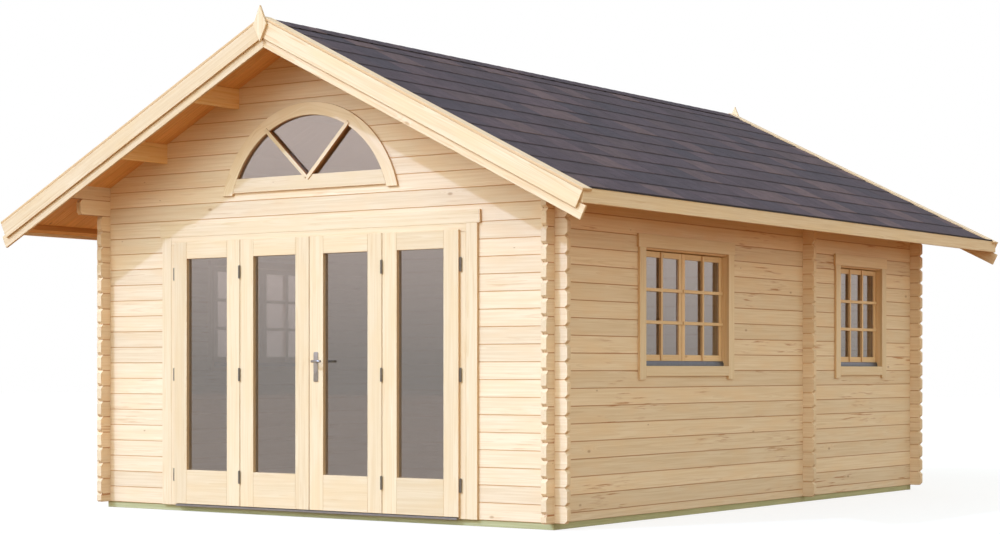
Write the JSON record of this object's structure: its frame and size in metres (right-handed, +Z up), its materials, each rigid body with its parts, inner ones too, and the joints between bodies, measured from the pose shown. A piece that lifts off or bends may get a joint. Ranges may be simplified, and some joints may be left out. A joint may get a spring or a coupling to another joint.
{
  "type": "log cabin",
  "caption": "Gabled log cabin with interlocking log corners, a glazed folding door, an arched gable window, side windows and a shingled roof with wide overhangs.",
  "frame": {"origin": "on the ground under the middle of the house", "axes": "+X to the right along the door front, +Y from the door front to the back, +Z up; the door faces -Y"},
  "size_m": [5.3808, 6.956, 3.6334],
  "materials": {
    "spruce_logs": "planed, raw",
    "planed_spruce": "planed, raw",
    "roof_spruce": "planed, raw",
    "floor_spruce": "planed, raw",
    "treated_pine": "pressure treated, sawn",
    "bitumen_shingles": "mineral grit",
    "glazing": "clear",
    "door_hardware": "satin",
    "threshold_aluminium": "satin",
    "drip_bar_aluminium": "anodised"
  },
  "bodies": {
    "root": {"foundation_beams": "treated_pine", "floor_joists": "treated_pine", "floor_boards": "floor_spruce", "front_wall_logs": "spruce_logs", "front_gable_logs": "spruce_logs", "back_wall_logs": "spruce_logs", "back_gable_logs": "spruce_logs", "left_wall_logs": "spruce_logs", "right_wall_logs": "spruce_logs", "partition_logs": "spruce_logs", "ridge_purlin": "roof_spruce", "purlins": "roof_spruce", "left_roof_deck": "roof_spruce", "right_roof_deck": "roof_spruce", "left_roof_covering": "bitumen_shingles", "right_roof_covering": "bitumen_shingles", "ridge_cap": "bitumen_shingles", "eaves_fascias": "planed_spruce", "eaves_battens": "roof_spruce", "front_bargeboards": "planed_spruce", "front_inner_bargeboards": "planed_spruce", "front_verge_caps": "planed_spruce", "front_finial": "planed_spruce", "rear_bargeboards": "planed_spruce", "rear_inner_bargeboards": "planed_spruce", "rear_verge_caps": "planed_spruce", "rear_finial": "planed_spruce", "door_frame": "planed_spruce", "door_threshold": "threshold_aluminium", "door_casing": "planed_spruce", "door_leaf_1": "planed_spruce", "door_leaf_2": "planed_spruce", "door_leaf_3": "planed_spruce", "door_leaf_4": "planed_spruce", "door_glass": "glazing", "door_hinges": "door_hardware", "door_handle": "door_hardware", "arch_window_casing": "planed_spruce", "arch_window_frame": "planed_spruce", "arch_window_glass": "glazing", "window_frames": "planed_spruce", "window_sashes": "planed_spruce", "window_casings": "planed_spruce", "window_glass": "glazing", "window_drip_bars": "drip_bar_aluminium"}
  },
  "joints": []
}
